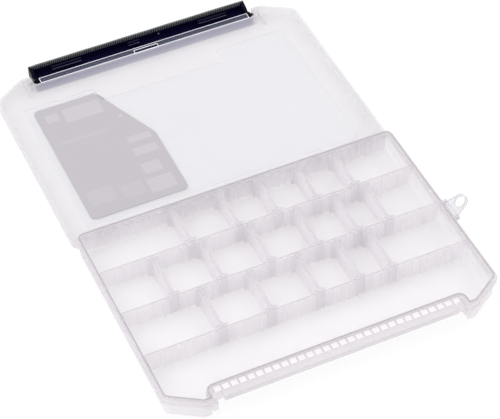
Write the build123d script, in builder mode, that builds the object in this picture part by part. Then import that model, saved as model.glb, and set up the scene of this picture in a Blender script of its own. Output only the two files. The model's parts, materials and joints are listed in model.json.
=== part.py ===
"""Flat hinged tackle case with a clip-on front latch, lift-out dividers and a hanging loop.

All sizes are in millimetres and +Z is up. The origin is the centre of the base tray's underside,
X runs along the hinge and Y runs from the front of the case to the hinge. The lid is drawn lying
open behind the base, turned half a turn about the hinge, and the latch is drawn swung open.
"""

from build123d import *
import os

# ---------------------------------------------------------------- driving sizes: the closed case
case_length = 205.0  # along X
case_depth = 145.0  # along Y
case_height = 22.0  # along Z
wall = 1.3  # every wall of the shells
seam_z = 14.0  # top of the base tray's flange, where the lid rests
seam_gap = 0.25  # between the flange and the lid's rim
slide_gap = 0.3  # between faces that pass each other

rear_round = 5.0  # plan rounds of the outline
corner_cut_x = 19.5
corner_cut_y = 12.5
corner_front_round = 4.0
corner_side_round = 6.0
horn_width = 7.0  # straight front between the corner cut and the recess
recess_depth = 8.0
recess_outer_round = 1.5
recess_inner_round = 2.0

# ---------------------------------------------------------------- driving sizes: base tray
flange_thick = 3.0
flange_proud = 2.0  # how far the flange stands out of the tray's wall
flange_round = 0.7
rim_height = 1.8  # the rim that stands inside the lid
rim_thick = 1.1
rim_round = 0.3
underside_round = 1.5
floor_round = 1.2
side_round = 5.0  # where the floor rises into both side walls

bar_end_gap = 5.2  # catch bar across the recess, short of its ends
bar_front = 0.6  # behind the front plane
bar_thick = 1.2
bar_height = 3.3
bar_shelf = 1.2

lug_reach = 0.9  # small lugs at both ends of the recess
lug_depth = 2.3
lug_low = 6.0
lug_high = 13.5
lug_round = 1.3

# ---------------------------------------------------------------- driving sizes: compartments
partition_count = 3
rear_row_depth = 30.3  # clear depth of the row at the hinge
row_pitch = 33.25  # from one partition to the next
partition_thick = 1.0
partition_top = 15.2
partition_round = 0.3
slot_pitch = 5.0
rib_width = 1.0
rib_depth = 0.9
rib_top = 14.6
wall_rib_top = 13.4
rib_free = 3.3  # between the last rib and the end of the recess
join = 0.3  # how far a rib, wall or shelf runs into what carries it

divider_web = 1.9
divider_flare = 2.5  # hollow rounds where the web spreads into the ends
divider_lip = 0.6  # edge of the spread ends, outside the ribs
divider_round = 0.25
divider_chamfer = 0.6
divider_top = 15.0
divider_slots = (  # slot numbers, counted from the middle of the case
    ("rear", (-9, -3, 2, 7, 12)),
    ("middle", (-14, -8, -2, 4, 9, 13)),
    ("near", (-11, -5, 1, 6, 10)),
)

# ---------------------------------------------------------------- driving sizes: hinge
hinge_out = 0.5  # hinge line behind the rear plane
barrel_r = 1.9
hinge_pin_r = 1.0
pin_clearance = 0.05
hinge_pin_reach = 2.2
end_opening_in = 13.0  # openings in the flange for the lid's knuckles: one near each side
end_opening_length = 13.0
middle_openings = ((-47.5, -13.5), (-7.5, 15.5), (48.5, 54.5))  # and three between them
base_knuckle = 5.0
knuckle_root = 3.0

# ---------------------------------------------------------------- driving sizes: lid
lid_top_round = 1.0
lid_rim_round = 0.3
lid_shelf_end_gap = 4.2  # short of the recess's ends
lid_shelf_front = 3.5  # behind the front plane
lid_shelf_thick = 1.15
lid_slot_half = 8.0
lid_slot_depth = 2.5
window_side = 13.5  # raised line around the window, from the sides
window_front = 20.8  # from the front plane
window_rear = 13.0  # from the rear plane
window_step = 12.0  # set back at the middle of its front
window_step_half = 39.5
window_slope = 4.2
window_round = 2.0
window_line = 0.8
window_proud = 0.3
corner_rib_out = 4.7  # ribs inside the front corners, outside the recess's ends
corner_rib_length = 11.0
corner_rib_height = 4.4
corner_rib_thick = 0.9

# ---------------------------------------------------------------- driving sizes: label card
card_side = 19.4  # from the left side
card_front = 25.9  # from the front plane
card_rear = 17.4  # from the rear plane
card_width = 62.1
card_top_width = 38.3
card_slope = 48.1
card_thick = 0.3
card_round = 2.0

# ---------------------------------------------------------------- driving sizes: latch
pivot_in = 3.2  # behind the front plane
pivot_z = 17.0
roll_r = 4.5
latch_thick = 1.6
latch_end_gap = 1.4  # short of the recess's ends
latch_end = 2.3  # thickness of both end plates
latch_reach = 12.0  # pivot to free edge
latch_edge_round = 0.8
latch_pin_r = 0.9
latch_pin_reach = 1.0  # into the lid's wall
latch_boss_r = 2.1
end_plate_dip = (4.1, 0.1)  # upper edge of the end plates, from the pivot
end_plate_knee = (7.1, 2.1)
end_plate_rise = 3.2
hook_relief_r = 6.95
hook_near = 5.0
hook_far = 8.0
hook_rise = 4.7
hook_spans = ((-60.5, -40.5), (-8.5, -0.5), (40.5, 60.5))
lip_thick = 1.4
lip_rise = 6.0
grip_pitch = 1.2
grip_proud = 0.3
grip_end_gap = 4.0

# ---------------------------------------------------------------- driving sizes: hanging loop
loop_y = -1.5
loop_axis_out = 1.7  # outside the flange
loop_axis_z = 12.5
loop_barrel_r = 1.3
loop_root_half = 6.0
loop_root_length = 2.6
loop_plate = 1.5
loop_ring_at = 7.0
loop_ring_r = 4.75
loop_hole_r = 3.4
loop_tilt = 37.0  # above level
loop_pin_r = 0.7
loop_pin_reach = 1.3
loop_ear_r = 1.5
loop_ear_thick = 1.6

# ---------------------------------------------------------------- sizes that follow
half_x = case_length / 2
half_y = case_depth / 2
hinge_y = half_y + hinge_out
hinge_z = case_height / 2
lid_rim_z = seam_z + seam_gap
tray_outer = flange_proud
tray_inner = flange_proud + wall
rim_outer = wall + slide_gap
rim_inner = rim_outer + rim_thick
floor_top = wall
flange_join = flange_round + join
rim_join = lid_rim_round + join
front_y = -half_y
recess_y = front_y + recess_depth
pivot_y = front_y + pivot_in
recess_half = half_x - corner_cut_x - horn_width
bar_half = recess_half - bar_end_gap
lid_shelf_half = recess_half - lid_shelf_end_gap
latch_half = recess_half - latch_end_gap
rear_face = half_y - tray_inner
last_partition = rear_face - rear_row_depth - partition_thick / 2
row_ys = [last_partition - row_pitch * k for k in range(partition_count)]
side_opening = half_x - end_opening_in - end_opening_length
knuckle_openings = [
    (-side_opening - end_opening_length, -side_opening),
    *middle_openings,
    (side_opening, side_opening + end_opening_length),
]
lip_top = lip_rise - roll_r + latch_thick
latch_pivot = (0, 2 * hinge_y - pivot_y, 2 * hinge_z - pivot_z)
loop_x = half_x + loop_axis_out


def outline_corners():
    """Return the corners of the plan outline with their rounds, anticlockwise."""
    cut_x = half_x - corner_cut_x
    cut_y = front_y + corner_cut_y
    return [
        ((recess_half, front_y), recess_outer_round),
        ((cut_x, front_y), corner_front_round),
        ((half_x, cut_y), corner_side_round),
        ((half_x, half_y), rear_round),
        ((-half_x, half_y), rear_round),
        ((-half_x, cut_y), corner_side_round),
        ((-cut_x, front_y), corner_front_round),
        ((-recess_half, front_y), recess_outer_round),
        ((-recess_half, recess_y), -recess_inner_round),
        ((recess_half, recess_y), -recess_inner_round),
    ]


def outline_face(inset):
    """Return the plan outline as a flat sketch, moved inward by inset."""
    corners = outline_corners()
    points = []
    count = len(corners)
    for i in range(count):
        here = Vector(*corners[i][0])
        before = (here - Vector(*corners[i - 1][0])).normalized()
        after = (Vector(*corners[(i + 1) % count][0]) - here).normalized()
        normal_a = Vector(-before.Y, before.X)
        normal_b = Vector(-after.Y, after.X)
        move = (normal_a + normal_b) * (inset / (1 + normal_a.dot(normal_b)))
        points.append((here.X + move.X, here.Y + move.Y))
    with BuildSketch(Plane.XY, mode=Mode.PRIVATE) as plan:
        with BuildLine():
            Polyline(*points, close=True)
        make_face()
        for point, corner in zip(points, corners):
            radius = max(corner[1] - inset, 0.4)
            if corner[1] < 0:
                radius = -corner[1] + inset
            fillet(vertices().sort_by_distance((point[0], point[1], 0))[0], radius=radius)
    return plan.sketch


def flipped(closed_z):
    """Return the plane of the open lid that lies at closed_z once the lid is shut."""
    return Plane(origin=(0, 2 * hinge_y, 2 * hinge_z - closed_z), x_dir=(1, 0, 0), z_dir=(0, 0, -1))


def rib_xs():
    """Return the X of every rib along a partition, clear of the rounds at both side walls."""
    count = int((half_x - tray_inner - side_round) // slot_pitch)
    return [slot_pitch * k for k in range(-count, count + 1)]


def row_faces(row):
    """Return the front and rear Y of the walls that hold a row of dividers, row 0 at the hinge."""
    half = partition_thick / 2
    rear = rear_face if row == 0 else row_ys[row - 1] - half
    return row_ys[row] + half, rear


def base_knuckles():
    """Return the end beside the lid's knuckle and the far end of each of the tray's knuckles."""
    spans = []
    edges = [edge for opening in knuckle_openings for edge in opening]
    for i, edge in enumerate(edges):
        side = 1 if i % 2 else -1
        length = base_knuckle
        if 0 <= i + side < len(edges):
            length = min(base_knuckle, abs(edges[i + side] - edge) / 2)
        spans.append((edge, edge + side * length))
    return spans


os.makedirs("parts", exist_ok=True)

# ================================================================ base tray
with BuildPart() as base_tray:
    # tray below the flange
    with BuildSketch(Plane.XY):
        add(outline_face(tray_outer))
    extrude(amount=seam_z)
    fillet(faces().sort_by(Axis.Z)[0].outer_wire().edges(), radius=underside_round)

    # flange that the lid rests on
    with BuildPart(mode=Mode.PRIVATE) as flange:
        with BuildSketch(Plane.XY.offset(seam_z - flange_thick)):
            add(outline_face(0))
        extrude(amount=flange_thick)
        fillet(faces().filter_by(Plane.XY).edges(), radius=flange_round)
    add(flange.part)

    # rim that stands inside the lid
    with BuildSketch(Plane.XY.offset(seam_z)):
        add(outline_face(rim_outer))
    extrude(amount=rim_height)

    # hollow
    with BuildSketch(Plane.XY.offset(floor_top)):
        add(outline_face(tray_inner))
    extrude(amount=case_height, mode=Mode.SUBTRACT)
    with BuildSketch(Plane.XY.offset(seam_z - 0.6)):
        add(outline_face(rim_inner))
    extrude(amount=case_height, mode=Mode.SUBTRACT)
    floor_face = faces().filter_by(Plane.XY).filter_by(lambda f: abs(f.center().Z - floor_top) < 0.01)[0]
    fillet(floor_face.outer_wire().edges(), radius=floor_round)
    fillet(faces().sort_by(Axis.Z)[-1].edges(), radius=rim_round)

    # hollow rounds where the floor rises into both side walls
    with BuildPart(mode=Mode.PRIVATE) as side_rounds:
        with BuildSketch(Plane.XZ.offset(-front_y)):
            for side in (-1, 1):
                corner_x = side * (half_x - tray_inner)
                with Locations((corner_x + side * (join - side_round) / 2, floor_top + (side_round - join) / 2)):
                    Rectangle(side_round + join, side_round + join)
                with Locations((corner_x - side * side_round, floor_top + side_round)):
                    Circle(side_round, mode=Mode.SUBTRACT)
        extrude(amount=-case_depth)
        with BuildSketch(Plane.XY):
            add(outline_face(tray_inner - join))
        extrude(amount=case_height, mode=Mode.INTERSECT)
    add(side_rounds.part)

    # openings in the flange for the lid's knuckles
    with BuildSketch(Plane.XY.offset(seam_z - flange_thick)):
        for start, end in knuckle_openings:
            with Locations(((start + end) / 2, half_y - tray_outer / 2)):
                Rectangle(end - start, tray_outer)
    extrude(amount=flange_thick, mode=Mode.SUBTRACT)

    # knuckles on both sides of each opening, with a stub pin towards the lid's knuckle
    for near_end, far_end in base_knuckles():
        with BuildSketch(Plane.YZ.offset(near_end)):
            with Locations((hinge_y, hinge_z)):
                Circle(barrel_r)
            with Locations((hinge_y - knuckle_root / 2, hinge_z)):
                Rectangle(knuckle_root, 2 * barrel_r)
        extrude(amount=far_end - near_end)
        with BuildSketch(Plane.YZ.offset(near_end)):
            with Locations((hinge_y, hinge_z)):
                Circle(hinge_pin_r)
        extrude(amount=hinge_pin_reach if far_end < near_end else -hinge_pin_reach)

    # catch bar and the shelf that carries it
    with BuildSketch(Plane.XY.offset(seam_z - bar_shelf)):
        with Locations((0, (front_y + bar_front + recess_y + flange_join) / 2)):
            Rectangle(2 * bar_half, recess_depth - bar_front + flange_join)
    extrude(amount=bar_shelf)
    with BuildSketch(Plane.XY.offset(seam_z - bar_height)):
        with Locations((0, front_y + bar_front + bar_thick / 2)):
            Rectangle(2 * bar_half, bar_thick)
    extrude(amount=bar_height)

    # lugs at both ends of the recess
    lug_width = lug_reach + flange_proud + join
    with BuildSketch(Plane.XZ.offset(-front_y)):
        for side in (-1, 1):
            with Locations((side * (recess_half - lug_reach + lug_width / 2), (lug_low + lug_high) / 2)):
                RectangleRounded(lug_width, lug_high - lug_low, lug_round)
    extrude(amount=-lug_depth)

    # fixed partitions, rounded along their tops
    for row_y in row_ys:
        with BuildSketch(Plane.YZ.offset(-half_x + tray_inner - join)):
            with Locations((row_y, (floor_top - join + partition_top) / 2)):
                Rectangle(partition_thick, partition_top - floor_top + join)
            fillet(vertices().group_by(Axis.Z)[-1], radius=partition_round)
        extrude(amount=2 * (half_x - tray_inner + join))

    # ribs that form the divider slots: both sides of each partition, the rear and the front wall
    with BuildSketch(Plane.XY.offset(floor_top - join)):
        for row_y in row_ys:
            for rib_x in rib_xs():
                with Locations((rib_x, row_y)):
                    Rectangle(rib_width, partition_thick + 2 * rib_depth)
    extrude(amount=rib_top - floor_top + join)
    with BuildSketch(Plane.XY.offset(floor_top - join)):
        for rib_x in rib_xs():
            with Locations((rib_x, rear_face + (join - rib_depth) / 2)):
                Rectangle(rib_width, rib_depth + join)
            if abs(rib_x) < recess_half - rib_free:
                with Locations((rib_x, recess_y + tray_inner + (rib_depth - join) / 2)):
                    Rectangle(rib_width, rib_depth + join)
    extrude(amount=wall_rib_top - floor_top + join)

    # ears that carry the hanging loop
    ear_in = loop_root_half + slide_gap
    for near_y in (loop_y - ear_in - loop_ear_thick, loop_y + ear_in):
        with BuildSketch(Plane.XZ.offset(-near_y)):
            with Locations((loop_x, loop_axis_z)):
                Circle(loop_ear_r)
            with Locations((loop_x - (loop_axis_out + flange_join) / 2, loop_axis_z)):
                Rectangle(loop_axis_out + flange_join, 2 * loop_ear_r)
        extrude(amount=-loop_ear_thick)
        with BuildSketch(Plane.XZ.offset(-near_y)):
            with Locations((loop_x, loop_axis_z)):
                Circle(loop_pin_r + pin_clearance)
        extrude(amount=-loop_ear_thick, mode=Mode.SUBTRACT)
base_tray.part.label = "base_tray"
export_step(base_tray.part, "parts/base_tray.step")

# ================================================================ lid, drawn open
with BuildPart() as lid:
    with BuildSketch(flipped(lid_rim_z)):
        add(outline_face(0))
    extrude(amount=case_height - lid_rim_z)
    fillet(faces().sort_by(Axis.Z)[0].outer_wire().edges(), radius=lid_top_round)
    with BuildSketch(flipped(lid_rim_z)):
        add(outline_face(wall))
    extrude(amount=case_height - lid_rim_z - wall, mode=Mode.SUBTRACT)
    fillet(faces().sort_by(Axis.Z)[-1].edges(), radius=lid_rim_round)

    # shelf along the recess, with its slot
    with BuildSketch(flipped(lid_rim_z)):
        with Locations((0, (front_y + lid_shelf_front + recess_y + rim_join) / 2)):
            Rectangle(2 * lid_shelf_half, recess_depth - lid_shelf_front + rim_join)
        with Locations((0, recess_y - lid_slot_depth / 2)):
            Rectangle(2 * lid_slot_half, lid_slot_depth, mode=Mode.SUBTRACT)
    extrude(amount=lid_shelf_thick)

    # short ribs inside the front corners
    with BuildSketch(flipped(case_height - wall - corner_rib_height)):
        for side in (-1, 1):
            rib_y = front_y + wall + (corner_rib_length - join) / 2
            with Locations((side * (recess_half + corner_rib_out), rib_y)):
                Rectangle(corner_rib_thick, corner_rib_length + join)
    extrude(amount=corner_rib_height + join)

    # raised line around the window
    window_half = half_x - window_side
    with BuildSketch(flipped(case_height - wall - window_proud)):
        with BuildLine():
            Polyline(
                (-window_half, front_y + window_front),
                (-window_step_half - window_slope, front_y + window_front),
                (-window_step_half, front_y + window_front + window_step),
                (window_step_half, front_y + window_front + window_step),
                (window_step_half + window_slope, front_y + window_front),
                (window_half, front_y + window_front),
                (window_half, half_y - window_rear),
                (-window_half, half_y - window_rear),
                close=True,
            )
        make_face()
        fillet(vertices(), radius=window_round)
        offset(amount=-window_line, mode=Mode.SUBTRACT)
    extrude(amount=window_proud + join)

    # knuckles that drop into the flange, with through bores
    arm_low = 2 * hinge_z - lid_rim_z - rim_join
    arm_y = 2 * hinge_y - half_y + wall / 2
    for start, end in knuckle_openings:
        first = start + slide_gap
        last = end - slide_gap
        with BuildSketch(Plane.YZ.offset(first)):
            with Locations((hinge_y, hinge_z)):
                Circle(barrel_r)
            with Locations((arm_y, (arm_low + hinge_z) / 2)):
                Rectangle(wall, hinge_z - arm_low)
        extrude(amount=last - first)
        with BuildSketch(Plane.YZ.offset(first)):
            with Locations((hinge_y, hinge_z)):
                Circle(hinge_pin_r + pin_clearance)
        extrude(amount=last - first, mode=Mode.SUBTRACT)

    # holes for the latch's pins
    with BuildSketch(Plane.YZ.offset(-recess_half - 2 * wall)):
        with Locations((latch_pivot[1], latch_pivot[2])):
            Circle(latch_pin_r + pin_clearance)
    extrude(amount=2 * recess_half + 4 * wall, mode=Mode.SUBTRACT)
lid.part.label = "lid"
export_step(lid.part, "parts/lid.step")

# ================================================================ label card inside the lid
with BuildPart() as label_card:
    card_left = -half_x + card_side
    card_far = 2 * hinge_y - front_y - card_front
    card_near = 2 * hinge_y - half_y + card_rear
    with BuildSketch(Plane.XY.offset(wall)):
        with BuildLine():
            Polyline(
                (card_left, card_far),
                (card_left + card_top_width, card_far),
                (card_left + card_width, card_far - card_slope),
                (card_left + card_width, card_near),
                (card_left, card_near),
                close=True,
            )
        make_face()
        fillet(vertices(), radius=card_round)
    extrude(amount=card_thick)
label_card.part.label = "label_card"
export_step(label_card.part, "parts/label_card.step")

# ================================================================ latch, drawn swung open
with BuildPart() as latch:
    pivot = Plane(origin=latch_pivot, x_dir=(0, 1, 0), z_dir=(1, 0, 0))
    board_in = latch_thick - roll_r
    lip_in = latch_reach - lip_thick
    edge_at = latch_reach - latch_edge_round

    # board with its quarter roll around the pivot line and the inturned grip lip
    with BuildSketch(pivot.offset(-latch_half)):
        with BuildLine():
            Line((0, -roll_r), (edge_at, -roll_r))
            RadiusArc((edge_at, -roll_r), (latch_reach, latch_edge_round - roll_r), -latch_edge_round)
            Polyline(
                (latch_reach, latch_edge_round - roll_r),
                (latch_reach, lip_top),
                (lip_in, lip_top),
                (lip_in, board_in),
                (0, board_in),
            )
            RadiusArc((0, board_in), (board_in, 0), -board_in)
            Line((board_in, 0), (-roll_r, 0))
            RadiusArc((-roll_r, 0), (0, -roll_r), -roll_r)
        make_face()
    extrude(amount=2 * latch_half)

    # end plates
    for start in (-latch_half, latch_half - latch_end):
        with BuildSketch(pivot.offset(start)):
            with BuildLine():
                Polyline(
                    (0, -roll_r),
                    (edge_at, -roll_r),
                    (edge_at, end_plate_rise),
                    end_plate_knee,
                    end_plate_dip,
                    (0, latch_boss_r),
                    (-latch_boss_r, 0),
                    (-roll_r, 0),
                )
                RadiusArc((-roll_r, 0), (0, -roll_r), -roll_r)
            make_face()
            Circle(latch_boss_r)
        extrude(amount=latch_end)

    # hooks that pass under the catch bar, relieved along their swing
    for start, end in hook_spans:
        with BuildSketch(pivot.offset(start)):
            with Locations(((hook_far + hook_near) / 2, board_in + (hook_rise - join) / 2)):
                Rectangle(hook_far - hook_near, hook_rise + join)
            Circle(hook_relief_r, mode=Mode.SUBTRACT)
        extrude(amount=end - start)

    # fine ribs along the grip lip
    with BuildSketch(Plane.XY.offset(latch_pivot[2] + lip_top - join)):
        count = int((latch_half - grip_end_gap) // grip_pitch)
        for k in range(-count, count + 1):
            with Locations((k * grip_pitch, latch_pivot[1] + latch_reach - lip_thick / 2)):
                Rectangle(grip_pitch / 2, lip_thick)
    extrude(amount=grip_proud + join)

    # pins at both ends, into the walls of the lid's recess
    for side in (-1, 1):
        with BuildSketch(pivot.offset(side * (latch_half - latch_end))):
            Circle(latch_pin_r)
        extrude(amount=side * (latch_end + latch_end_gap + latch_pin_reach))
latch.part.label = "latch"
export_step(latch.part, "parts/latch.step")

# ================================================================ hanging loop
with BuildPart() as hang_loop:
    tilted = Plane(
        origin=(loop_x, loop_y, loop_axis_z),
        x_dir=Vector(1, 0, 0).rotate(Axis.Y, -loop_tilt),
        z_dir=Vector(0, 0, 1).rotate(Axis.Y, -loop_tilt),
    )
    with BuildSketch(tilted):
        with BuildLine():
            Polyline(
                (0, -loop_root_half),
                (loop_root_length, -loop_root_half),
                (loop_ring_at, -loop_ring_r),
                (loop_ring_at, loop_ring_r),
                (loop_root_length, loop_root_half),
                (0, loop_root_half),
                close=True,
            )
        make_face()
        with Locations((loop_ring_at, 0)):
            Circle(loop_ring_r)
            Circle(loop_hole_r, mode=Mode.SUBTRACT)
    extrude(amount=loop_plate / 2, both=True)
    with BuildSketch(Plane.XZ.offset(-loop_y)):
        with Locations((loop_x, loop_axis_z)):
            Circle(loop_barrel_r)
    extrude(amount=loop_root_half, both=True)
    with BuildSketch(Plane.XZ.offset(-loop_y)):
        with Locations((loop_x, loop_axis_z)):
            Circle(loop_pin_r)
    extrude(amount=loop_root_half + loop_pin_reach, both=True)
hang_loop.part.label = "hang_loop"
export_step(hang_loop.part, "parts/hang_loop.step")


# ================================================================ lift-out dividers
def make_divider(name, centre_x, front_face, rear_face):
    """Write one divider, whose ends spread outside the ribs and run on into the slots."""
    half_length = (rear_face - front_face) / 2 - slide_gap
    half_web = divider_web / 2
    half_tongue = slot_pitch / 2 - rib_width / 2 - slide_gap
    half_spread = half_web + divider_flare
    spread_end = half_length - rib_depth
    spread_start = spread_end - divider_lip - divider_flare
    with BuildPart() as divider:
        with BuildSketch(Plane.XY.offset(floor_top + slide_gap)):
            with Locations((centre_x, (front_face + rear_face) / 2)):
                Rectangle(divider_web, 2 * half_length)
                for side in (-1, 1):
                    with Locations((0, side * (spread_start + spread_end) / 2)):
                        Rectangle(2 * half_spread, spread_end - spread_start)
                for side_x in (-1, 1):
                    for side_y in (-1, 1):
                        with Locations((side_x * half_spread, side_y * spread_start)):
                            Circle(divider_flare, mode=Mode.SUBTRACT)
                for side in (-1, 1):
                    with Locations((0, side * (half_length - (rib_depth + join) / 2))):
                        Rectangle(2 * half_tongue, rib_depth + join)
        extrude(amount=divider_top - floor_top - slide_gap)
        fillet(faces().sort_by(Axis.Z)[-1].edges(), radius=divider_round)
        chamfer(faces().sort_by(Axis.Z)[0].edges().group_by(Axis.Y)[0], length=divider_chamfer)
        chamfer(faces().sort_by(Axis.Z)[0].edges().group_by(Axis.Y)[-1], length=divider_chamfer)
    divider.part.label = name
    export_step(divider.part, "parts/" + name + ".step")


for row, (row_name, slots) in enumerate(divider_slots):
    for place, slot in enumerate(slots, start=1):
        row_front, row_rear = row_faces(row)
        make_divider(f"divider_{row_name}_{place}", (slot + 0.5) * slot_pitch, row_front, row_rear)
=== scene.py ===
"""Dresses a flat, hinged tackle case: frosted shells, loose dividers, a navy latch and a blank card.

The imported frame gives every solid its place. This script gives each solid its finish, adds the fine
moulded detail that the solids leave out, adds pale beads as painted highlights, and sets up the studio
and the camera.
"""

from __future__ import annotations

import json
import logging
import math
from dataclasses import dataclass
from enum import Enum

import bmesh
import bpy
from mathutils import Matrix, Vector

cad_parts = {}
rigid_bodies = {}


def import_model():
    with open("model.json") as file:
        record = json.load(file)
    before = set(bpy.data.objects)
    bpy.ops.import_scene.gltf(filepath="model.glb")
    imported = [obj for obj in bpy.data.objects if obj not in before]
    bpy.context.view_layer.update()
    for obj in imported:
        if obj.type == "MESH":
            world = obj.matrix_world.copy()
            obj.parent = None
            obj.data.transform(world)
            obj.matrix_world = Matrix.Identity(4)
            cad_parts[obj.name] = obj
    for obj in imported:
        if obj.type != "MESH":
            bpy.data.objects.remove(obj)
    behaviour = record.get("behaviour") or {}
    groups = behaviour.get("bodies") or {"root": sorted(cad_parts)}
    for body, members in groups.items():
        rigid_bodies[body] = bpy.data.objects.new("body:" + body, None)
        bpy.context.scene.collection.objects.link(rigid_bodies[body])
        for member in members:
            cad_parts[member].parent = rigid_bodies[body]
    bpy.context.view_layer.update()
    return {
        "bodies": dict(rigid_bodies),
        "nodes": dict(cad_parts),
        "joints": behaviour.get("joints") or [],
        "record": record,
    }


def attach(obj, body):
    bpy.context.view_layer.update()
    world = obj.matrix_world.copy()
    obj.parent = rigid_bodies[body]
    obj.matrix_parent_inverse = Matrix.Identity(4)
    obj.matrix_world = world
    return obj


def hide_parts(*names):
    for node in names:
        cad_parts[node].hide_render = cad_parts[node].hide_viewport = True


LOG = logging.getLogger("tackle_case")
MM = 0.001
PLASTIC_IOR = 1.49
ABOVE_ALL = 30.0  # a height in millimetres that nothing reaches
PAST = 1.0  # how far, in millimetres, a mask reaches past the face it covers

Socket = bpy.types.NodeSocket


class Tint(Enum):
    """The colours of the case's plastics and card and of the studio, with the painted shades and
    highlights, in linear light.
    """

    MILKY = (0.985, 0.963, 0.985)
    MILKY_THICK = (0.79, 0.765, 0.79)
    MILKY_DENSE = (0.89, 0.86, 0.89)
    LID = (0.925, 0.905, 0.935)
    LID_GRAIN = (0.84, 0.82, 0.85)
    # Painted shade of the dark latch seen through the lid's recess wall.
    PAINTED_RECESS_SHADE = (0.72, 0.70, 0.83)
    # Painted shade of the navy latch seen through the clear shelf.
    PAINTED_SHELF_SHADE = (0.62, 0.66, 0.88)
    # Painted shade for the top of the tray's rim.
    PAINTED_RIM_SHADE = (0.46, 0.43, 0.47)
    CREAM = (0.73, 0.68, 0.69)
    MILKY_WINDOW = (0.89, 0.875, 0.92)
    DIVIDER = (0.98, 0.955, 0.985)
    # Painted shade for the upper edges of the walls and dividers.
    PAINTED_EDGE_SHADE = (0.70, 0.67, 0.71)
    # Painted highlight for the edges of the lid's shelf.
    PAINTED_SHELF_HIGHLIGHT = (0.93, 0.93, 0.98)
    NAVY = (0.0014, 0.0018, 0.0150)
    NAVY_WARM = (0.0040, 0.0030, 0.0230)
    NAVY_DEEP = (0.0008, 0.0012, 0.0060)
    GRIP = (0.21, 0.23, 0.21)
    # Painted highlight for the edges of the latch's hooks.
    PAINTED_HOOK_HIGHLIGHT = (0.30, 0.28, 0.40)
    CARD = (0.415, 0.390, 0.422)
    CARD_BLOCK = (0.468, 0.440, 0.476)
    CARD_FAINT = (0.440, 0.414, 0.447)
    STUDIO = (1.0, 1.0, 1.0)
    PAPER = (0.93, 0.93, 0.93)

    def rgba(self) -> tuple[float, float, float, float]:
        """Return the colour with full opacity."""
        return (*self.value, 1.0)


# ------------------------------------------------------------------------------ node helpers


def node_at(tree: bpy.types.NodeTree, kind: str, column: int, row: int) -> bpy.types.Node:
    """Add a node to a tree on a loose grid.

    Args:
        tree: The node tree to add to.
        kind: The node's type name.
        column: Its column, counted leftwards from the output.
        row: Its row, counted downwards.

    Returns:
        The new node.
    """
    made = tree.nodes.new(kind)
    made.location = (-240 * column, -260 * row)
    return made


def blank_material(name: str) -> tuple[bpy.types.Material, bpy.types.NodeTree, bpy.types.Node]:
    """Make a material that holds only its output node.

    Args:
        name: The material's name.

    Returns:
        The material, its node tree and its output node.
    """
    material = bpy.data.materials.new(name)
    material.use_nodes = True
    tree = material.node_tree
    tree.nodes.clear()
    return material, tree, node_at(tree, "ShaderNodeOutputMaterial", 0, 0)


def feed(tree: bpy.types.NodeTree, slot: Socket, value: Socket | float | tuple[float, ...]) -> None:
    """Link a socket to an input, or set the input to a number or a colour.

    Args:
        tree: The node tree that holds both.
        slot: The input.
        value: What it takes.
    """
    if isinstance(value, Socket):
        tree.links.new(value, slot)
    else:
        slot.default_value = value


def maths(tree: bpy.types.NodeTree, operation: str, *values: Socket | float) -> Socket:
    """Add one maths node.

    Args:
        tree: The node tree to add to.
        operation: The maths node's operation.
        values: Its inputs, sockets or numbers.

    Returns:
        The result's socket.
    """
    node = node_at(tree, "ShaderNodeMath", 8, 1)
    node.operation = operation
    for slot, value in zip(node.inputs, values):
        feed(tree, slot, value)
    return node.outputs["Value"]


def coat(
    tree: bpy.types.NodeTree,
    output: bpy.types.Node,
    colour: Socket,
    roughness: Socket | float,
    normal: Socket,
    specular: float = 0.5,
) -> None:
    """Give an opaque material its one shader.

    Args:
        tree: The material's node tree.
        output: Its output node.
        colour: The base colour.
        roughness: How rough the face is.
        normal: The roughened normal.
        specular: How strongly the face mirrors, 0.5 for a plain plastic.
    """
    shader = node_at(tree, "ShaderNodeBsdfPrincipled", 1, 0)
    feed(tree, shader.inputs["Specular IOR Level"], specular)
    feed(tree, shader.inputs["Base Color"], colour)
    feed(tree, shader.inputs["Roughness"], roughness)
    feed(tree, shader.inputs["Normal"], normal)
    tree.links.new(shader.outputs["BSDF"], output.inputs["Surface"])


@dataclass(frozen=True)
class Pattern:
    """An uneven pattern: its features per metre and its octaves."""

    scale: float
    detail: float


@dataclass(frozen=True)
class Grain:
    """A fine grain: its bumps per metre, their height in metres and how much of them shows."""

    scale: float
    depth: float
    strength: float
    detail: float = 2.0


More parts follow.
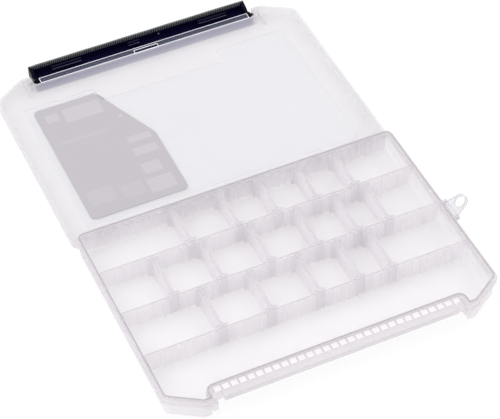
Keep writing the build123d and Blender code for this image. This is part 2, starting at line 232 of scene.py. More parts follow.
class Place:
    """Masks and patterns laid out on a piece's own coordinates."""

    def __init__(self, tree: bpy.types.NodeTree) -> None:
        """Read the coordinates once.

        Args:
            tree: The material's node tree.
        """
        self.tree = tree
        self.source = node_at(tree, "ShaderNodeTexCoord", 10, 0)
        self.split = node_at(tree, "ShaderNodeSeparateXYZ", 9, 0)
        tree.links.new(self.source.outputs["Object"], self.split.inputs["Vector"])

    def band(self, axis: str, low: float, high: float) -> Socket:
        """Return a mask that is 1 between two planes, in millimetres.

        Args:
            axis: The axis across the band.
            low: Where the band starts.
            high: Where it ends.

        Returns:
            The mask's socket.
        """
        middle, half = 0.5 * MM * (low + high), 0.5 * MM * (high - low)
        return maths(self.tree, "COMPARE", self.split.outputs[axis], middle, half)

    def all_of(self, *masks: Socket) -> Socket:
        """Return the mask that is 1 where every mask is."""
        result = masks[0]
        for mask in masks[1:]:
            result = maths(self.tree, "MULTIPLY", result, mask)
        return result

    def any_of(self, *masks: Socket) -> Socket:
        """Return the mask that is 1 where any mask is."""
        result = masks[0]
        for mask in masks[1:]:
            result = maths(self.tree, "MAXIMUM", result, mask)
        return result

    def outside(self, mask: Socket) -> Socket:
        """Return the opposite of a mask."""
        return maths(self.tree, "SUBTRACT", 1.0, mask)

    def rectangle(self, x: tuple[float, float], y: tuple[float, float]) -> Socket:
        """Return a mask that is 1 over a rectangle of the plan, in millimetres."""
        return self.all_of(self.band("X", *x), self.band("Y", *y))

    def noise(self, pattern: Pattern) -> Socket:
        """Return an uneven pattern's value, 0 to 1.

        Args:
            pattern: Its scale and octaves.

        Returns:
            The value's socket.
        """
        node = node_at(self.tree, "ShaderNodeTexNoise", 7, 2)
        node.inputs["Scale"].default_value = pattern.scale
        node.inputs["Detail"].default_value = pattern.detail
        self.tree.links.new(self.source.outputs["Object"], node.inputs["Vector"])
        return node.outputs["Fac"]

    def shade(
        self,
        share: Socket,
        first: Socket | tuple[float, ...],
        second: Socket | tuple[float, ...],
    ) -> Socket:
        """Mix two colours.

        Args:
            share: How much of the second colour.
            first: The first colour.
            second: The second colour.

        Returns:
            The mixed colour's socket.
        """
        node = node_at(self.tree, "ShaderNodeMix", 5, 0)
        node.data_type = "RGBA"
        self.tree.links.new(share, node.inputs["Factor"])
        feed(self.tree, node.inputs["A"], first)
        feed(self.tree, node.inputs["B"], second)
        return node.outputs["Result"]

    def stretch(self, value: Socket, low: float, high: float) -> Socket:
        """Return a 0 to 1 value stretched to another range.

        Args:
            value: The value.
            low: What 0 becomes.
            high: What 1 becomes.

        Returns:
            The stretched value's socket.
        """
        node = node_at(self.tree, "ShaderNodeMapRange", 6, 1)
        node.inputs["To Min"].default_value = low
        node.inputs["To Max"].default_value = high
        self.tree.links.new(value, node.inputs["Value"])
        return node.outputs["Result"]

    def grained(self, grain: Grain) -> Socket:
        """Return a normal roughened by a fine grain.

        Args:
            grain: The grain's scale, depth and strength.

        Returns:
            The normal's socket.
        """
        node = node_at(self.tree, "ShaderNodeBump", 4, 2)
        node.inputs["Distance"].default_value = grain.depth
        node.inputs["Strength"].default_value = grain.strength
        bumps = self.noise(Pattern(grain.scale, grain.detail))
        self.tree.links.new(bumps, node.inputs["Height"])
        return node.outputs["Normal"]


# ------------------------------------------------------------------------------ finishes


@dataclass(frozen=True)
class MilkyPlastic:
    """Translucent moulded plastic: milky in depth, satin outside, with a fine spark-eroded grain."""

    name: str
    tint: Tint
    film: float  # how much of the light one face of a wall holds back
    roughness: float
    grain: Grain = Grain(2400.0, 0.00004, 0.5)
    glow: float = 0.5  # share of the held light that comes out on the far side
    bend: float = 0.17  # share of the clear light that the wall bends
    bend_roughness: float = 0.10
    clouds: Pattern = Pattern(38.0, 3.0)
    cloud_shade: float = 0.95  # the cloudiest spots, against the tint
    painted_edge_shade_from: float = 0.0  # height in millimetres above which the upper edges get a painted shade, 0 for none
    painted_edge_shade_height: float = 3.0
    painted_edge_shade_share: float = 0.8

    def film_of(self, place: Place) -> Socket | None:
        """Return how much each spot holds back, or nothing where it is the same all over."""
        return None

    def colour_of(self, place: Place) -> Socket:
        """Return the plastic's colour: its tint, clouded, with a painted shade along the upper edges.

        Args:
            place: The piece's coordinates.

        Returns:
            The colour's socket.
        """
        cloudy = (*(self.cloud_shade * part for part in self.tint.value), 1.0)
        colour = place.shade(place.noise(self.clouds), self.tint.rgba(), cloudy)
        # Painted shade: the upper edges are darkened, standing in for the darker look of edges seen along
        # the plastic's thickness.
        if self.painted_edge_shade_from:
            edge = place.band("Z", self.painted_edge_shade_from, self.painted_edge_shade_from + self.painted_edge_shade_height)
            shaded = place.stretch(edge, 0.0, self.painted_edge_shade_share)
            colour = place.shade(shaded, colour, Tint.PAINTED_EDGE_SHADE.rgba())
        return colour

    def build(self) -> bpy.types.Material:
        """Make the material.

        Returns:
            A mix of clear light, straight and bent, with a glossy pale shader and a back-lit one.
        """
        material, tree, output = blank_material(self.name)
        link = tree.links.new
        place = Place(tree)
        colour = self.colour_of(place)
        gloss = node_at(tree, "ShaderNodeBsdfPrincipled", 3, 0)
        gloss.inputs["Roughness"].default_value = self.roughness
        gloss.inputs["IOR"].default_value = PLASTIC_IOR
        link(colour, gloss.inputs["Base Color"])
        link(place.grained(self.grain), gloss.inputs["Normal"])
        lit_through = node_at(tree, "ShaderNodeBsdfTranslucent", 3, 1)
        link(colour, lit_through.inputs["Color"])
        body = node_at(tree, "ShaderNodeMixShader", 2, 0)
        body.inputs["Fac"].default_value = self.glow
        link(gloss.outputs["BSDF"], body.inputs[1])
        link(lit_through.outputs["BSDF"], body.inputs[2])
        straight = node_at(tree, "ShaderNodeBsdfTransparent", 3, 2)
        bent = node_at(tree, "ShaderNodeBsdfRefraction", 3, 3)
        bent.inputs["IOR"].default_value = PLASTIC_IOR
        bent.inputs["Roughness"].default_value = self.bend_roughness
        clear = node_at(tree, "ShaderNodeMixShader", 2, 1)
        clear.inputs["Fac"].default_value = self.bend
        link(straight.outputs["BSDF"], clear.inputs[1])
        link(bent.outputs["BSDF"], clear.inputs[2])
        mix = node_at(tree, "ShaderNodeMixShader", 1, 0)
        film = self.film_of(place)
        if film is None:
            mix.inputs["Fac"].default_value = self.film
        else:
            link(film, mix.inputs["Fac"])
        link(clear.outputs["Shader"], mix.inputs[1])
        link(body.outputs["Shader"], mix.inputs[2])
        link(mix.outputs["Shader"], output.inputs["Surface"])
        return material


@dataclass(frozen=True)
class TrayPlastic(MilkyPlastic):
    """The tray's plastic: denser and greyer where the flange and the rim are thick."""

    flange_x: float = 99.0  # inner edges of the flange, across
    flange_y: tuple[float, float] = (-60.9, 69.0)  # and along
    flange_low: float = 10.8
    film_thick: float = 0.66
    mottling: Pattern = Pattern(420.0, 3.0)
    painted_rim_shade_from: float = 15.6  # height above which the rim's top gets a painted grey shade line
    painted_rim_shade_share: float = 0.85

    def ring(self, place: Place) -> Socket:
        """Return the mask of the flange and the rim."""
        inside = place.rectangle((-self.flange_x, self.flange_x), self.flange_y)
        high = place.band("Z", self.flange_low, ABOVE_ALL)
        return place.all_of(place.outside(inside), high)

    def film_of(self, place: Place) -> Socket:
        """Return how much each spot holds back."""
        return place.stretch(self.ring(place), self.film, self.film_thick)

    def colour_of(self, place: Place) -> Socket:
        """Return the tray's colour, mottled grey along the flange, with a painted shade line along the
        rim's top.

        Args:
            place: The piece's coordinates.

        Returns:
            The colour's socket.
        """
        plain = super().colour_of(place)
        mottle = place.shade(place.noise(self.mottling), Tint.MILKY_THICK.rgba(), Tint.MILKY_DENSE.rgba())
        flange = place.shade(self.ring(place), plain, mottle)
        # Painted shade: a grey line along the rim's top, standing in for the darker look of its rounded
        # edge.
        line = place.stretch(place.band("Z", self.painted_rim_shade_from, ABOVE_ALL), 0.0, self.painted_rim_shade_share)
        return place.shade(line, flange, Tint.PAINTED_RIM_SHADE.rgba())


@dataclass(frozen=True)
class LidPlastic(MilkyPlastic):
    """The lid's plastic: frosted, with a clearer window and shelf, a denser recess wall, and painted
    shade of the latch on the wall and the shelf.
    """

    window_x: float = 89.0  # half the window's width
    window_y: tuple[float, float] = (86.5, 197.7)
    step_x: float = 41.6  # half the width of the step in the window's far edge
    step_y: float = 185.7
    panel_top: float = 2.2
    film_window: float = 0.38
    shelf_x: float = 71.9
    shelf_y: tuple[float, float] = (210.75, 215.2)
    shelf_z: tuple[float, float] = (6.45, 7.9)
    film_shelf: float = 0.10
    wall_x: float = 74.5
    wall_y: tuple[float, float] = (208.9, 210.75)
    wall_z: tuple[float, float] = (1.4, 7.6)
    film_wall: float = 0.62
    frosting: Pattern = Pattern(700.0, 2.0)
    patches: Pattern = Pattern(9.0, 1.0)
    patch_share: float = 0.5

    def window(self, place: Place) -> Socket:
        """Return the mask of the smooth window."""
        whole = place.rectangle((-self.window_x, self.window_x), self.window_y)
        step = place.rectangle((-self.step_x, self.step_x), (self.step_y, self.window_y[1] + PAST))
        panel = place.band("Z", -PAST, self.panel_top)
        return place.all_of(whole, place.outside(step), panel)

    def shelf(self, place: Place) -> Socket:
        """Return the mask of the clear shelf."""
        plan = place.rectangle((-self.shelf_x, self.shelf_x), self.shelf_y)
        return place.all_of(plan, place.band("Z", *self.shelf_z))

    def wall(self, place: Place) -> Socket:
        """Return the mask of the wall along the recess."""
        plan = place.rectangle((-self.wall_x, self.wall_x), self.wall_y)
        return place.all_of(plan, place.band("Z", *self.wall_z))

    def film_of(self, place: Place) -> Socket:
        """Return how much each spot holds back."""
        wall = place.stretch(self.wall(place), 0.0, self.film_wall - self.film)
        window = place.stretch(self.window(place), 0.0, self.film_window - self.film)
        shelf = place.stretch(self.shelf(place), self.film, self.film_shelf)
        return maths(place.tree, "ADD", maths(place.tree, "ADD", window, wall), shelf)

    def colour_of(self, place: Place) -> Socket:
        """Return the lid's colour: frosted, with its own tint on the window and painted shade of the
        latch on the wall and shelf.

        Args:
            place: The piece's coordinates.

        Returns:
            The colour's socket.
        """
        plain = super().colour_of(place)
        frosted = place.shade(place.noise(self.frosting), plain, Tint.LID_GRAIN.rgba())
        uneven = place.stretch(place.noise(self.patches), 0.0, self.patch_share)
        soft = place.shade(uneven, plain, frosted)
        panel = place.shade(self.window(place), soft, Tint.MILKY_WINDOW.rgba())
        # Painted shade: the recess wall is tinted lavender, standing in for the dark latch seen through
        # it.
        walled = place.shade(self.wall(place), panel, Tint.PAINTED_RECESS_SHADE.rgba())
        # Painted shade: the shelf is tinted slate blue, standing in for the navy latch seen through it.
        return place.shade(self.shelf(place), walled, Tint.PAINTED_SHELF_SHADE.rgba())


@dataclass(frozen=True)
class NavyPlastic:
    """Opaque dark plastic with a soft sheen, faint flow marks and light rubbing."""

    name: str = "navy_latch_plastic"
    roughness: tuple[float, float] = (0.28, 0.44)  # from the smoothest spot to the roughest
    specular: float = 0.06
    board_half: float = 72.35  # inside the end plates, in millimetres
    flow: Pattern = Pattern(45.0, 3.0)
    rubbing: Pattern = Pattern(60.0, 5.0)
    grain: Grain = Grain(2600.0, 0.00003, 0.4)

    def build(self) -> bpy.types.Material:
        """Make the material.

        Returns:
            A dark glossy material with uneven roughness and a fine bump.
        """
        material, tree, output = blank_material(self.name)
        place = Place(tree)
        flow = place.shade(place.noise(self.flow), Tint.NAVY.rgba(), Tint.NAVY_WARM.rgba())
        ends = place.outside(place.band("X", -self.board_half, self.board_half))
        colour = place.shade(ends, flow, Tint.NAVY_DEEP.rgba())
        rough = place.stretch(place.noise(self.rubbing), *self.roughness)
        coat(tree, output, colour, rough, place.grained(self.grain), self.specular)
        return material


@dataclass(frozen=True)
class WornAndHighlightPlastic:
    """A solid plastic whose colour wears unevenly, for the grip ribs, and for the painted highlight beads
    on the hook edges and the shelf.
    """

    name: str
    tint: Tint
    worn: Tint
    roughness: float
    specular: float = 0.3
    wear: Pattern = Pattern(240.0, 4.0)
    wear_share: float = 0.6
    grain: Grain = Grain(3000.0, 0.00002, 0.4)

    def build(self) -> bpy.types.Material:
        """Make the material.

        Returns:
            A satin material with uneven wear.
        """
        material, tree, output = blank_material(self.name)
        place = Place(tree)
        wear = place.stretch(place.noise(self.wear), 0.0, self.wear_share)
        colour = place.shade(wear, self.tint.rgba(), self.worn.rgba())
        coat(tree, output, colour, self.roughness, place.grained(self.grain), self.specular)
        return material


@dataclass(frozen=True)
class CardStock:
    """Plain grey card with a fibrous face and a few paler blank blocks.

    Each block is given by its two X values and then its two Y values, in millimetres.
    """

    name: str = "blank_card"
    roughness: float = 0.6
    fibres: Pattern = Pattern(900.0, 6.0)
    fibre_share: float = 0.35
    grain: Grain = Grain(1800.0, 0.00002, 0.3)
    blocks: tuple[tuple[float, float, float, float], ...] = (
        (-79.4, -71.2, 179.6, 186.6),
        (-68.0, -43.6, 175.2, 187.4),
        (-40.0, -25.4, 141.6, 147.0),
        (-40.6, -25.6, 129.6, 136.4),
        (-41.2, -29.6, 112.6, 122.0),
        (-43.4, -27.0, 96.4, 108.4),
        (-38.0, -34.8, 166.0, 168.2),
    )
    faint: tuple[tuple[float, float, float, float], ...] = (
        (-78.0, -46.0, 158.0, 160.5),
        (-80.0, -64.0, 101.0, 114.0),
        (-60.0, -46.0, 99.0, 110.0),
    )

    def build(self) -> bpy.types.Material:
        """Make the material.

        Returns:
            A matt card material.
        """
        material, tree, output = blank_material(self.name)
        place = Place(tree)
        clear = place.any_of(*(place.rectangle(b[:2], b[2:]) for b in self.blocks))
        faint = place.any_of(*(place.rectangle(b[:2], b[2:]) for b in self.faint))
        fibre = place.stretch(place.noise(self.fibres), 0.0, self.fibre_share)
        base = place.shade(fibre, Tint.CARD.rgba(), Tint.CARD_FAINT.rgba())
        colour = place.shade(faint, base, Tint.CARD_FAINT.rgba())
        colour = place.shade(clear, colour, Tint.CARD_BLOCK.rgba())
        coat(tree, output, colour, self.roughness, place.grained(self.grain))
        return material


# ------------------------------------------------------------------------------ pieces


def piece_from(name: str, shape: bmesh.types.BMesh, finish: bpy.types.Material) -> bpy.types.Object:
    """Turn a shape in metres into a finished piece at the origin.

    Args:
        name: The piece's name.
        shape: The shape; it is freed.
        finish: The material it wears.

    Returns:
        The new object, in the scene.
    """
    bmesh.ops.recalc_face_normals(shape, faces=shape.faces)
    mesh = bpy.data.meshes.new(name)
    shape.to_mesh(mesh)
    shape.free()
    mesh.materials.append(finish)
    piece = bpy.data.objects.new(name, mesh)
    bpy.context.scene.collection.objects.link(piece)
    return piece


def point(x: float, y: float, z: float) -> Vector:
    """Return a point given in millimetres."""
    return Vector((x * MM, y * MM, z * MM))


def add_bead(shape: bmesh.types.BMesh, path: list[Vector], radius: float, sides: int = 8) -> None:
    """Add a thin closed bead that follows a path.

    Args:
        shape: The shape to add to.
        path: The bead's centre line, in metres.
        radius: The bead's radius, in metres.
        sides: The number of its flats.
    """
    rings = []
    for step, centre in enumerate(path):
        ahead = path[min(step + 1, len(path) - 1)] - path[max(step - 1, 0)]
        ahead.normalize()
        side = ahead.cross(Vector((0, 0, 1)))
        side.normalize()
        up = side.cross(ahead)
        ring = []
        for k in range(sides):
            turn = math.tau * k / sides
            spoke = math.cos(turn) * side + math.sin(turn) * up
            ring.append(shape.verts.new(centre + radius * spoke))
        rings.append(ring)
    for first, second in zip(rings, rings[1:]):
        for k in range(sides):
            after = (k + 1) % sides
            shape.faces.new((first[k], first[after], second[after], second[k]))
    shape.faces.new(list(reversed(rings[0])))
    shape.faces.new(rings[-1])


@dataclass
class LabelCard:
    """The card inside the lid: a plain sheet with a sloping corner, in millimetres."""

    finish: bpy.types.Material
    left: float = -84.3
    far: float = 193.3
    near: float = 90.9
    width: float = 62.4
    top_width: float = 41.4
    slope: float = 48.8
    corner: float = 3.5  # the most that a rounding takes off each edge
    low: float = 1.38  # just clear of the lid's inner face
    high: float = 1.6
    steps: int = 8  # straight pieces in each rounded corner

    def outline(self) -> list[Vector]:
        """Return the outline with its corners rounded, in millimetres.

        Returns:
            The points, counter-clockwise.
        """
        right = self.left + self.width
        corners = [
            Vector((self.left, self.near)),
            Vector((right, self.near)),
            Vector((right, self.far - self.slope)),
            Vector((self.left + self.top_width, self.far)),
            Vector((self.left, self.far)),
        ]
        points = []
        for k, corner in enumerate(corners):
            before = (corners[k - 1] - corner).normalized()
            after = (corners[(k + 1) % len(corners)] - corner).normalized()
            half = 0.5 * before.angle(after)
            reach = min(self.corner / math.tan(half), self.corner)
            radius = reach * math.tan(half)
            centre = corner + (before + after).normalized() * (radius / math.sin(half))
            start = corner + before * reach - centre
            end = corner + after * reach - centre
            for step in range(self.steps + 1):
                spoke = start.lerp(end, step / self.steps).normalized() * radius
                points.append(centre + spoke)
        return points

    def build(self) -> bpy.types.Object:
        """Make the card.

        Returns:
            The card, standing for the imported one.
        """
        shape = bmesh.new()
        outline = self.outline()
        lower = [shape.verts.new(point(p.x, p.y, self.low)) for p in outline]
        upper = [shape.verts.new(point(p.x, p.y, self.high)) for p in outline]
        shape.faces.new(list(reversed(lower)))
        shape.faces.new(upper)
        for k in range(len(outline)):
            after = (k + 1) % len(outline)
            shape.faces.new((lower[k], lower[after], upper[after], upper[k]))
        card = piece_from("card_sheet", shape, self.finish)
        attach(card, "lid")
        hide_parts("label_card")
        return card


@dataclass
class ShelfHighlights:
    """Painted highlights along the lid's shelf, as thin pale beads: around its edge and around its slot,
    in millimetres.
    """

    finish: bpy.types.Material
    half: float = 71.6  # half the shelf's length
    front_y: float = 214.75
    root_y: float = 210.15
    top: float = 7.7
    slot_half: float = 8.0
    slot_y: tuple[float, float] = (210.3, 213.15)
    radius: float = 0.17
    slot_scale: float = 1.15  # how much thicker the slot's beads are

    def build(self) -> bpy.types.Object:
        """Make the painted highlight beads.

        Returns:
            The beads, as one piece that rides on the lid.
        """
        shape = bmesh.new()
        left, right = -self.half, self.half
        edges = (
            ((left, self.front_y), (right, self.front_y)),
            ((left, self.root_y), (right, self.root_y)),
            ((left, self.root_y), (left, self.front_y)),
            ((right, self.root_y), (right, self.front_y)),
        )
        low, high = self.slot_y
        reach = self.slot_half
        slot = ((-reach, low), (-reach, high), (reach, high), (reach, low))
        frame = zip(slot, slot[1:] + slot[:1])
        # Painted highlights: pale beads along the shelf's edges and its slot, standing in for the light
        # caught by those edges.
        for lines, scale in ((edges, 1.0), (frame, self.slot_scale)):
            for line in lines:
                ends = [point(x, y, self.top) for x, y in line]
                add_bead(shape, ends, scale * self.radius * MM)
        glint_beads = piece_from("shelf_highlight_beads", shape, self.finish)
        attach(glint_beads, "lid")
        return glint_beads


@dataclass
class LatchHookHighlights:
    """Painted highlights along the edges of the latch's hooks, as thin pale beads, and a small pale dot,
    in millimetres.
    """

    finish: bpy.types.Material
    spans: tuple[tuple[float, float], ...] = ((-60.3, -40.7), (-8.3, -0.7), (40.7, 60.3))
    upper: tuple[float, float] = (223.2, 6.55)  # an edge's place along and up
    lower: tuple[float, float] = (221.35, 5.6)
    radius: float = 0.16
    lower_scale: float = 0.6  # how much thinner the lower edge is
    mark: tuple[float, float, float] = (14.2, 225.8, 3.7)
    mark_radius: float = 0.5

    def build(self) -> bpy.types.Object:
        """Make the painted highlight beads and the dot.

        Returns:
            The beads and the dot, as one piece that rides on the latch.
        """
        shape = bmesh.new()
        # Painted highlights: pale beads on the hooks' upper and lower edges, standing in for the light
        # those edges catch.
        for start, end in self.spans:
            for (y, z), scale in ((self.upper, 1.0), (self.lower, self.lower_scale)):
                ends = [point(x, y, z) for x in (start, end)]
                add_bead(shape, ends, scale * self.radius * MM)
        radius = self.mark_radius * MM
        dome = bmesh.ops.create_uvsphere(shape, u_segments=16, v_segments=10, radius=radius)
        bmesh.ops.translate(shape, verts=dome["verts"], vec=point(*self.mark))
        edges = piece_from("latch_hook_highlights", shape, self.finish)
        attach(edges, "latch")
        return edges


class RibRow(Enum):
    """The two rows of ribs: each row's name, the body it rides on and that body's material slot."""

    GRIP = ("grip_ribs", "latch", "latch_plastic")
    RIM = ("rim_ribs", "base", "frosted_shell")


@dataclass
class Ribs:
    """A row of equal ribs along a straight line across the case, in millimetres."""

    row: RibRow
    finish: bpy.types.Material
    half: float  # half the length that the row may fill
    pitch: float
    size: tuple[float, float, float]
    centre: tuple[float, float]  # the row's place along the case and up
    slant: float = 0.0  # how far each rib is turned in plan, in radians

    def tree(self) -> bpy.types.NodeTree:
        """Make the node tree.

        Returns:
            A tree that lays slanted ribs along a line.
        """
        tree = bpy.data.node_groups.new(self.row.value[0] + "_row", "GeometryNodeTree")
        face = tree.interface
        inputs = {
            "Geometry": "NodeSocketGeometry",
            "Count": "NodeSocketInt",
            "Start": "NodeSocketVector",
            "Step": "NodeSocketVector",
            "Size": "NodeSocketVector",
            "Slant": "NodeSocketFloat",
        }
        for name, kind in inputs.items():
            face.new_socket(name, in_out="INPUT", socket_type=kind)
        face.new_socket("Geometry", in_out="OUTPUT", socket_type="NodeSocketGeometry")
        given = node_at(tree, "NodeGroupInput", 6, 0)
        result = node_at(tree, "NodeGroupOutput", 0, 0)
        line = node_at(tree, "GeometryNodeMeshLine", 5, 0)
        line.mode = "OFFSET"
        rib = node_at(tree, "GeometryNodeMeshCube", 5, 1)
        turn = node_at(tree, "ShaderNodeCombineXYZ", 5, 2)
        lay = node_at(tree, "GeometryNodeInstanceOnPoints", 3, 0)
        real = node_at(tree, "GeometryNodeRealizeInstances", 2, 0)
        dress = node_at(tree, "GeometryNodeSetMaterial", 1, 0)
        dress.inputs["Material"].default_value = self.finish
        link = tree.links.new
        link(given.outputs["Count"], line.inputs["Count"])
        link(given.outputs["Start"], line.inputs["Start Location"])
        link(given.outputs["Step"], line.inputs["Offset"])
        link(given.outputs["Size"], rib.inputs["Size"])
        link(given.outputs["Slant"], turn.inputs["Z"])
        link(line.outputs["Mesh"], lay.inputs["Points"])
        link(rib.outputs["Mesh"], lay.inputs["Instance"])
        link(turn.outputs["Vector"], lay.inputs["Rotation"])
        link(lay.outputs["Instances"], real.inputs["Geometry"])
        link(real.outputs["Geometry"], dress.inputs["Geometry"])
        link(dress.outputs["Geometry"], result.inputs["Geometry"])
        return tree

    def build(self) -> bpy.types.Object:
        """Make the ribs.

        Returns:
            The ribs, as one plain mesh that rides on its body.
        """
        name, body, slot = self.row.value
        count = int(2 * self.half / self.pitch) + 1
        first = -0.5 * (count - 1) * self.pitch
        values = {
            "Count": count,
            "Start": tuple(place * MM for place in (first, *self.centre)),
            "Step": (self.pitch * MM, 0.0, 0.0),
            "Size": tuple(side * MM for side in self.size),
            "Slant": -self.slant,
        }
        source = bpy.data.objects.new(name + "_source", bpy.data.meshes.new(name + "_source"))
        bpy.context.scene.collection.objects.link(source)
        modifier = source.modifiers.new("ribs", "NODES")
        modifier.node_group = self.tree()
        for item in modifier.node_group.interface.items_tree:
            if item.in_out == "INPUT" and item.name in values:
                modifier[item.identifier] = values[item.name]
        evaluated = source.evaluated_get(bpy.context.evaluated_depsgraph_get())
        mesh = bpy.data.meshes.new_from_object(evaluated)
        bpy.data.objects.remove(source)
        ribs = bpy.data.objects.new(name, mesh)
        bpy.context.scene.collection.objects.link(ribs)
        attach(ribs, body)
        return ribs


# ------------------------------------------------------------------------------ the case


@dataclass
class TackleCase:
    """The case's solids and the finish that each one wears."""

    nodes: dict[str, bpy.types.Object]
    tray: bpy.types.Material
    lid: bpy.types.Material
    divider: bpy.types.Material
    clear: bpy.types.Material
    navy: bpy.types.Material
    card: bpy.types.Material

    def dress(self) -> None:
        """Give every solid its finish."""
        for name, solid in self.nodes.items():
            finish = self.finish_for(name)
            solid.data.materials.clear()
            solid.data.materials.append(finish)
            LOG.info("%s wears %s", name, finish.name)

    def finish_for(self, name: str) -> bpy.types.Material:
        """Return the finish of the solid of that name.

        Args:
            name: The solid's name.

        Returns:
            The material it wears.
        """
        if name.startswith("divider_"):
            return self.divider
        named = {
            "latch": self.navy,
            "label_card": self.card,
            "hang_loop": self.clear,
            "lid": self.lid,
            "base_tray": self.tray,
        }
        return named[name]


# ------------------------------------------------------------------------------ studio


@dataclass(frozen=True)
class Lamp:
    """One broad, square lamp that looks at the case, in metres and watts."""

    name: str
    place: tuple[float, float, float]
    side: float
    power: float
    target: tuple[float, float, float] = (0.0, 0.06, 0.0)

    def build(self) -> None:
        """Hang the lamp and point it."""
        light = bpy.data.lights.new(self.name, "AREA")
        light.size = self.side
        light.energy = self.power
        lamp = bpy.data.objects.new(self.name, light)
        place = Vector(self.place)
        aim = (Vector(self.target) - place).to_track_quat("-Z", "Y")
        lamp.matrix_world = Matrix.Translation(place) @ aim.to_matrix().to_4x4()
        bpy.context.scene.collection.objects.link(lamp)


@dataclass(frozen=True)
class Studio:
    """A pale flat floor, a soft sky and two broad lamps."""

    floor_half: float = 3.0
    floor_drop: float = 0.0003  # how far the floor lies under the case
    floor_glow: float = 0.85  # how much of the white shows where the floor is looked at
    sky_low: float = 0.75
    sky_high: float = 1.15
    sky_full: float = 0.6  # how high up the sky reaches its full brightness, 1 for overhead
    lamps: tuple[Lamp, ...] = (
        Lamp("lamp_left", (-0.9, 0.2, 1.4), 1.0, 6.0),
        Lamp("lamp_right", (0.8, 0.6, 1.4), 1.2, 3.6),
    )

    def build(self) -> None:
        """Make the floor, the world light and the lamps."""
        self.build_floor()
        self.build_sky()
        for lamp in self.lamps:
            lamp.build()

    def build_floor(self) -> None:
        """Make a floor that looks white and keeps a faint shadow."""
        mesh = bpy.data.meshes.new("studio_floor")
        half = self.floor_half
        corners = [(-half, -half), (half, -half), (half, half), (-half, half)]
        mesh.from_pydata([(x, y, -self.floor_drop) for x, y in corners], [], [(0, 1, 2, 3)])
        floor = bpy.data.objects.new("studio_floor", mesh)
        bpy.context.scene.collection.objects.link(floor)
        material, tree, output = blank_material("studio_paper")
        link = tree.links.new
        rays = node_at(tree, "ShaderNodeLightPath", 5, 0).outputs
        direct = maths(tree, "MAXIMUM", rays["Is Camera Ray"], rays["Is Transmission Ray"])
        looked_at = maths(tree, "MAXIMUM", direct, rays["Is Glossy Ray"])
        share = maths(tree, "MULTIPLY", looked_at, self.floor_glow)
        paper = node_at(tree, "ShaderNodeBsdfDiffuse", 2, 1)
        paper.inputs["Color"].default_value = Tint.PAPER.rgba()
        glow = node_at(tree, "ShaderNodeEmission", 2, 2)
        glow.inputs["Color"].default_value = Tint.STUDIO.rgba()
        mix = node_at(tree, "ShaderNodeMixShader", 1, 0)
        link(share, mix.inputs["Fac"])
        link(paper.outputs["BSDF"], mix.inputs[1])
        link(glow.outputs["Emission"], mix.inputs[2])
        link(mix.outputs["Shader"], output.inputs["Surface"])
        mesh.materials.append(material)

    def build_sky(self) -> None:
        """Make a sky that is brighter overhead, and plain white where the camera sees it."""
        world = bpy.data.worlds.new("studio_sky")
        bpy.context.scene.world = world
        world.use_nodes = True
        tree = world.node_tree
        tree.nodes.clear()
        link = tree.links.new
        output = node_at(tree, "ShaderNodeOutputWorld", 0, 0)
        way = node_at(tree, "ShaderNodeTexCoord", 5, 0)
        height = node_at(tree, "ShaderNodeSeparateXYZ", 4, 0)
        link(way.outputs["Generated"], height.inputs["Vector"])
        dome = node_at(tree, "ShaderNodeMapRange", 3, 0)
        dome.inputs["From Max"].default_value = self.sky_full
        dome.inputs["To Min"].default_value = self.sky_low
        dome.inputs["To Max"].default_value = self.sky_high
        link(height.outputs["Z"], dome.inputs["Value"])
        rays = node_at(tree, "ShaderNodeLightPath", 3, 1)
        strength = node_at(tree, "ShaderNodeMix", 2, 0)
        strength.data_type = "FLOAT"
        strength.inputs["B"].default_value = 1.0
        link(dome.outputs["Result"], strength.inputs["A"])
        link(rays.outputs["Is Camera Ray"], strength.inputs["Factor"])
        light = node_at(tree, "ShaderNodeBackground", 1, 0)
        light.inputs["Color"].default_value = Tint.STUDIO.rgba()
        link(strength.outputs["Result"], light.inputs["Strength"])
        link(light.outputs["Background"], output.inputs["Surface"])


@dataclass(frozen=True)
class Viewpoint:
    """The camera: a long lens, high over the front left corner."""

    place: tuple[float, float, float] = (-0.3079, -0.6632, 0.8226)
    target: tuple[float, float, float] = (0.0036, 0.0602, 0.0)
    roll: float = math.radians(-1.70)
    lens: float = 138.57  # in millimetres, on a sensor of the next width
    sensor: float = 36.0
    nearest: float = 0.01  # where the camera starts to see, in metres

    def build(self) -> None:
        """Make the camera and give it to the scene."""
        optics = bpy.data.cameras.new("camera")
        optics.lens = self.lens
        optics.sensor_width = self.sensor
        optics.sensor_fit = "HORIZONTAL"
        optics.clip_start = self.nearest
        camera = bpy.data.objects.new("camera", optics)
        place = Vector(self.place)
        aim = (Vector(self.target) - place).to_track_quat("-Z", "Y").to_matrix().to_4x4()
        camera.matrix_world = Matrix.Translation(place) @ aim @ Matrix.Rotation(self.roll, 4, "Z")
        bpy.context.scene.collection.objects.link(camera)
        bpy.context.scene.camera = camera


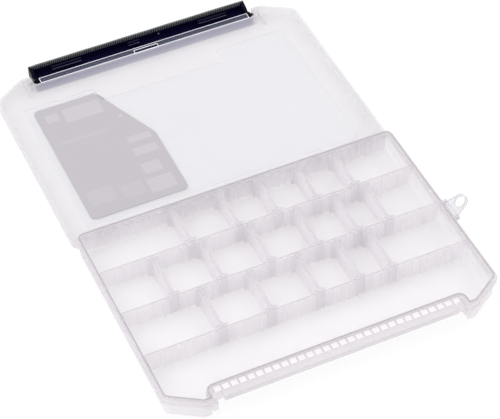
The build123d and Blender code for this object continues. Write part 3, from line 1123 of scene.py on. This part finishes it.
def main() -> None:
    """Build the finishes, dress the case, add the fine pieces and set up the studio."""
    logging.basicConfig(level=logging.INFO, format="%(name)s: %(message)s")
    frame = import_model()
    bpy.context.scene.view_settings.view_transform = "Standard"
    card_finish = CardStock().build()
    tray = TrayPlastic("frosted_tray", Tint.MILKY, film=0.54, roughness=0.36, painted_edge_shade_from=14.9)
    lid = LidPlastic("frosted_lid", Tint.LID, film=0.48, roughness=0.34, bend=0.12)
    divider = MilkyPlastic("frosted_divider", Tint.DIVIDER, film=0.56, roughness=0.40, painted_edge_shade_from=14.7)
    clear = MilkyPlastic(
        "clear_loop",
        Tint.MILKY_WINDOW,
        film=0.48,
        roughness=0.14,
        grain=Grain(1200.0, 0.00002, 0.5),
        bend=0.4,
    )
    case = TackleCase(
        nodes=frame["nodes"],
        tray=tray.build(),
        lid=lid.build(),
        divider=divider.build(),
        clear=clear.build(),
        navy=NavyPlastic().build(),
        card=card_finish,
    )
    case.dress()
    grip = WornAndHighlightPlastic("rubbed_grip", Tint.GRIP, Tint.NAVY_WARM, roughness=0.5)
    hook_glint = WornAndHighlightPlastic("painted_hook_highlight", Tint.PAINTED_HOOK_HIGHLIGHT, Tint.NAVY_WARM, roughness=0.4)
    cream = WornAndHighlightPlastic("cream_rib", Tint.CREAM, Tint.MILKY_THICK, roughness=0.4)
    shelf_glint = WornAndHighlightPlastic("painted_shelf_highlight", Tint.PAINTED_SHELF_HIGHLIGHT, Tint.MILKY_WINDOW, roughness=0.3)
    grip_ribs = Ribs(
        RibRow.GRIP,
        grip.build(),
        half=73.6,
        pitch=1.25,
        size=(0.55, 1.6, 2.4),
        centre=(226.40, 7.30),
        slant=math.radians(35),
    )
    rim_ribs = Ribs(
        RibRow.RIM,
        cream.build(),
        half=72.5,
        pitch=5.0,
        size=(3.7, 3.7, 0.3),
        centre=(-65.1, 13.9),
    )
    pieces = (
        LabelCard(card_finish),
        ShelfHighlights(shelf_glint.build()),
        LatchHookHighlights(hook_glint.build()),
        grip_ribs,
        rim_ribs,
    )
    for builder in pieces:
        piece = builder.build()
        LOG.info("%s built with %d faces", piece.name, len(piece.data.polygons))
    Studio().build()
    Viewpoint().build()


if __name__ == "__main__":
    main()
